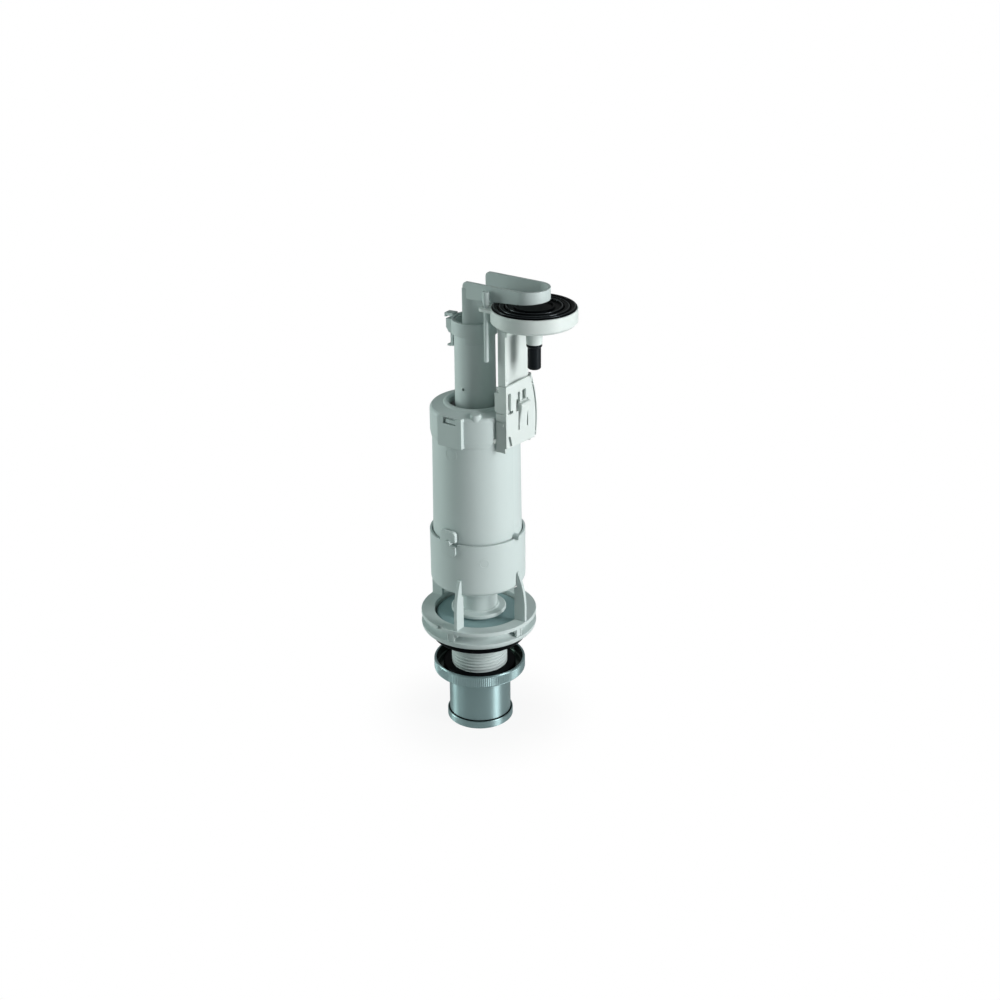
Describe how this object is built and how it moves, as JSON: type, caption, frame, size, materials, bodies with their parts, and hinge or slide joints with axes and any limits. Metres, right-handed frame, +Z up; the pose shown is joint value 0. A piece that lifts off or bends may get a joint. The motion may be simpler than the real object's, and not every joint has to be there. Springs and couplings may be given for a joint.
{
  "type": "toilet flush valve",
  "caption": "Pneumatic toilet flush valve: lift tube in a sleeve on a bayonet base, yoke over a diaphragm actuator, height-setting clip, threaded spigot with cup nut and tail pipe.",
  "frame": {"origin": "on the valve's axis, in the plane of the cistern floor that the gasket's underside lies on", "axes": "+Z up along the valve's axis, +X from the axis to the pneumatic actuator"},
  "size_m": [0.14, 0.098, 0.398],
  "materials": {
    "shell_plastic": "satin",
    "white_plastic": "satin",
    "yoke_plastic": "satin",
    "seal_rubber": "matte",
    "black_rubber": "matte",
    "plated_metal": "polished"
  },
  "bodies": {
    "seat": {"base_seat": "shell_plastic", "spigot": "shell_plastic", "base_gasket": "black_rubber"},
    "housing": {"fin_ring": "shell_plastic", "lower_sleeve": "shell_plastic", "body_cylinder": "shell_plastic", "top_cap": "shell_plastic", "clip_bracket": "white_plastic"},
    "lift": {"overflow_tube": "shell_plastic", "seal_carrier": "shell_plastic", "flush_seal": "seal_rubber", "seal_retainer": "shell_plastic", "float": "white_plastic", "float_clip": "white_plastic", "lift_yoke": "yoke_plastic", "guide_rod": "yoke_plastic", "refill_clip": "yoke_plastic"},
    "actuator": {"mast": "white_plastic", "actuator_dish": "white_plastic", "diaphragm_rim": "black_rubber", "hose_sleeve": "black_rubber"},
    "fold": {"diaphragm_fold": "black_rubber"},
    "crown": {"diaphragm_crown": "black_rubber"},
    "latch": {"height_latch": "white_plastic"},
    "tail": {"tail_pipe": "plated_metal", "end_ring": "plated_metal", "outlet_seal": "black_rubber"},
    "nut": {"cup_nut": "plated_metal", "nut_insert": "black_rubber"}
  },
  "joints": [
    {"name": "bayonet_twist", "type": "hinge", "parent": "seat", "child": "housing", "pos_m": [0, 0, 0.0205], "axis": [0, 0, 1], "range_deg": [-12, 0]},
    {"name": "lift_slide", "type": "slide", "parent": "housing", "child": "lift", "axis": [0, 0, 1], "range_m": [0, 0.012]},
    {"name": "actuator_height", "type": "slide", "parent": "housing", "child": "actuator", "axis": [0, 0, 1], "range_m": [-0.02, 0]},
    {"name": "diaphragm_fold_rise", "type": "slide", "parent": "actuator", "child": "fold", "axis": [0, 0, 1], "range_m": [0, 0.0073]},
    {"name": "diaphragm_crown_rise", "type": "slide", "parent": "actuator", "child": "crown", "axis": [0, 0, 1], "range_m": [0, 0.0142]},
    {"name": "latch_bend", "type": "hinge", "parent": "housing", "child": "latch", "pos_m": [0.04175, 0.0057, 0.1967], "axis": [0, 1, 0], "range_deg": [0, 8], "stiffness_Nm_per_rad": 0.15},
    {"name": "clamp_travel", "type": "slide", "parent": "seat", "child": "tail", "axis": [0, 0, 1], "range_m": [0, 0.012]},
    {"name": "nut_turn", "type": "hinge", "parent": "tail", "child": "nut", "pos_m": [0, 0, -0.0322], "axis": [0, 0, 1], "range_deg": [0, 1441]}
  ],
  "couplings": [
    {"joint": "diaphragm_fold_rise", "follows": "lift_slide", "ratio": 0.6},
    {"joint": "diaphragm_crown_rise", "follows": "lift_slide", "ratio": 1.175},
    {"joint": "nut_turn", "follows": "clamp_travel", "rad_per_m": 2094.4}
  ]
}
